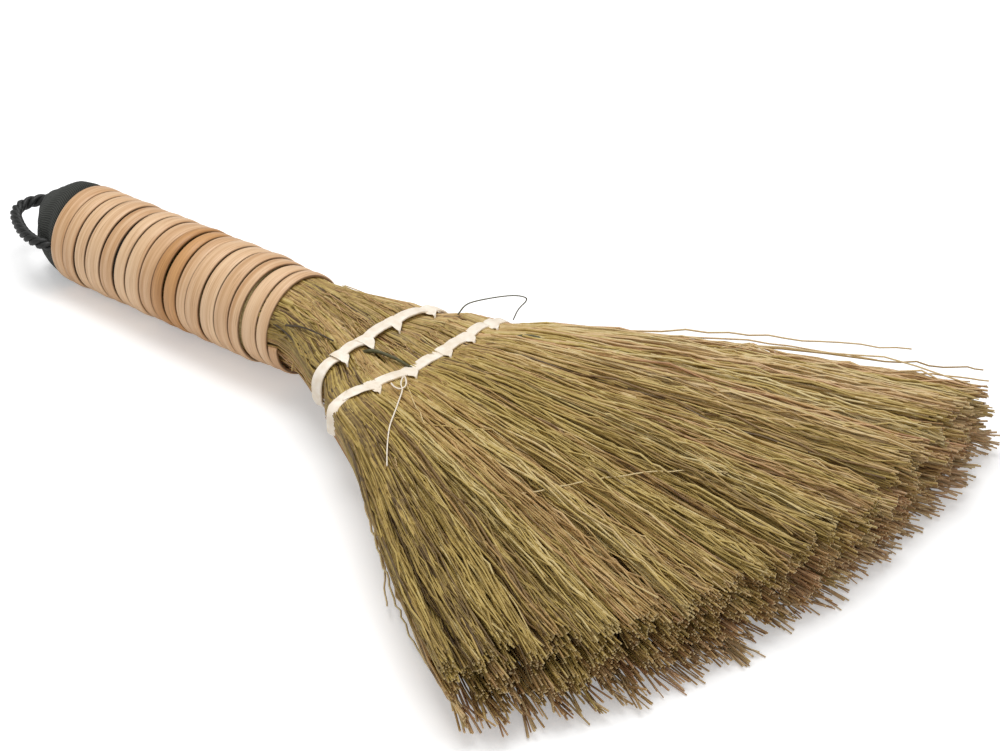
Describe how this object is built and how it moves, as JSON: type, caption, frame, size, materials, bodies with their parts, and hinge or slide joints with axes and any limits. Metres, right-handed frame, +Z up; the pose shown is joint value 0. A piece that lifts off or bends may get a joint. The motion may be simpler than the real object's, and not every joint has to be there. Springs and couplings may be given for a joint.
{
  "type": "straw hand broom",
  "caption": "Short hand broom: straw bound into a round rattan-wound handle with a cord hanging loop, sewn flat by cane rows into a wide fan.",
  "frame": {"origin": "on the table, under the middle of the whole broom as it lies on its flat side", "axes": "+X along the broom from the handle to the sweeping tips, +Y across the fan, +Z up"},
  "size_m": [0.4072, 0.2904, 0.0456],
  "materials": {
    "straw": "dry straw, dull, olive to tan",
    "stalk": "dry stalks, dull",
    "splint": "split rattan, satin",
    "dark_splint": "split rattan, satin, darker",
    "sleeve_cloth": "ribbed black cloth",
    "loop_cord": "twisted black cord, slight sheen",
    "cane": "bleached cane, satin",
    "twine": "hemp twine"
  },
  "bodies": {
    "broom": {"straw_hank_1": "straw", "straw_hank_2": "straw", "straw_hank_3": "straw", "straw_hank_4": "straw", "stalk_butts_1": "stalk", "stalk_butts_2": "stalk", "stalk_butts_3": "stalk", "stalk_butts_4": "stalk", "end_sleeve": "sleeve_cloth", "loop_tail_near": "loop_cord", "loop_tail_far": "loop_cord", "splint_wrap_butt": "splint", "splint_wrap_middle": "dark_splint", "splint_wrap_neck": "splint", "stalk_tie_1": "twine", "stalk_tie_2": "twine", "cane_band_1": "cane", "cane_band_2": "cane", "cane_stitch_1_1": "cane", "cane_stitch_1_2": "cane", "cane_stitch_1_3": "cane", "cane_stitch_1_4": "cane", "cane_stitch_2_1": "cane", "cane_stitch_2_2": "cane", "cane_stitch_2_3": "cane", "cane_stitch_2_4": "cane", "cane_stitch_2_5": "cane"},
    "loop": {"hanging_loop": "loop_cord"}
  },
  "joints": [
    {"name": "loop_swing", "type": "hinge", "parent": "broom", "child": "loop", "pos_m": [-0.16872, 0, 0.01934], "axis": [0, 1, 0], "range_deg": [-60, 60], "stiffness_Nm_per_rad": 0.02}
  ]
}
